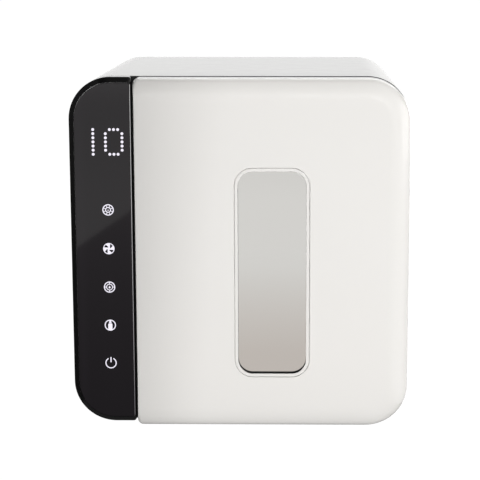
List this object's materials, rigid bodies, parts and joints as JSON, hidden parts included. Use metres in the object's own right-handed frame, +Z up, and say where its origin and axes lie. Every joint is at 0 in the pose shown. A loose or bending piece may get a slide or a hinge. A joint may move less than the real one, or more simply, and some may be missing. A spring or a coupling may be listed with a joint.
{
  "type": "bottle sterilizer",
  "caption": "Countertop ultraviolet bottle sterilizer and dryer: rounded cabinet, side-hinged door with a mirrored window, touch panel, steel chamber, wire racks, fan and filter.",
  "frame": {"origin": "on the surface it stands on, under the middle of its bounding box", "axes": "+Z up, the door and control panel face -Y, +X to the right seen from the front"},
  "size_m": [0.32, 0.307, 0.336],
  "materials": {
    "white_plastic": "glossy warm white",
    "black_gloss_plastic": "polished black",
    "black_plastic": "fine texture",
    "panel_glass": "black printed on the back, polished",
    "mirror_glass": "half mirror",
    "clear_glass": "clear",
    "steel_sheet": "bright stainless",
    "steel_wire": "polished",
    "rubber": "matte",
    "silicone": "soft translucent grey",
    "circuit_board": "solder mask",
    "transformer_steel": "varnished",
    "white_acetal": "satin",
    "plated_brass": "plain",
    "filter_fabric": "pleated fibre"
  },
  "bodies": {
    "housing": {"housing_wrap": "white_plastic", "rear_cover": "white_plastic", "control_bezel": "black_gloss_plastic", "front_frame": "black_plastic", "light_tray": "black_plastic", "heater_duct": "black_plastic", "fan_frame": "black_plastic", "mains_inlet": "black_plastic", "door_sensor": "black_plastic", "touch_glass": "panel_glass", "uv_lens_upper": "clear_glass", "uv_lens_lower": "clear_glass", "chamber_wrap": "steel_sheet", "chamber_back": "steel_sheet", "heater_element": "steel_sheet", "shelf_rail_left": "steel_sheet", "shelf_rail_right": "steel_sheet", "uv_bar_upper": "steel_sheet", "uv_bar_lower": "steel_sheet", "hinge_bracket_upper": "steel_sheet", "hinge_bracket_lower": "steel_sheet", "hinge_pin_upper": "steel_sheet", "hinge_pin_lower": "steel_sheet", "catch_plate_upper": "steel_sheet", "catch_plate_lower": "steel_sheet", "rear_screw_1": "steel_sheet", "rear_screw_2": "steel_sheet", "rear_screw_3": "steel_sheet", "rear_screw_4": "steel_sheet", "foot_front_left": "rubber", "foot_rear_left": "rubber", "foot_front_right": "rubber", "foot_rear_right": "rubber", "control_board": "circuit_board", "power_board": "circuit_board", "transformer": "transformer_steel", "display_module": "white_acetal", "touch_electrode_1": "plated_brass", "touch_electrode_2": "plated_brass", "touch_electrode_3": "plated_brass", "touch_electrode_4": "plated_brass", "touch_electrode_5": "plated_brass"},
    "door": {"door_cover": "white_plastic", "door_liner": "black_plastic", "door_reflector": "steel_sheet", "door_gasket": "silicone", "door_magnet_upper": "black_plastic", "door_magnet_lower": "black_plastic", "hinge_block_upper": "white_acetal", "hinge_block_lower": "white_acetal", "window_bezel": "white_plastic", "window_seal": "rubber", "window_glass": "mirror_glass", "window_inner_pane": "clear_glass"},
    "rack": {"bottle_rack": "steel_wire", "rack_fence": "steel_wire"},
    "shelf": {"accessory_shelf": "steel_wire"},
    "fan_rotor": {"fan_impeller": "black_plastic"},
    "filter": {"filter_cover": "white_plastic", "filter_media": "filter_fabric"}
  },
  "joints": [
    {"name": "door_hinge", "type": "hinge", "parent": "housing", "child": "door", "pos_m": [0.15, -0.139, 0.17], "axis": [0, 0, 1], "range_deg": [0, 105]},
    {"name": "rack_lift", "type": "slide", "parent": "housing", "child": "rack", "axis": [0, 0, 1], "range_m": [0, 0.012]},
    {"name": "shelf_lift", "type": "slide", "parent": "housing", "child": "shelf", "axis": [0, 0, 1], "range_m": [0, 0.008]},
    {"name": "fan_spin", "type": "hinge", "parent": "housing", "child": "fan_rotor", "pos_m": [0.027, 0.116, 0.11], "axis": [0, 1, 0], "continuous": true},
    {"name": "filter_pull", "type": "slide", "parent": "housing", "child": "filter", "axis": [0, 1, 0], "range_m": [0, 0.03]}
  ]
}
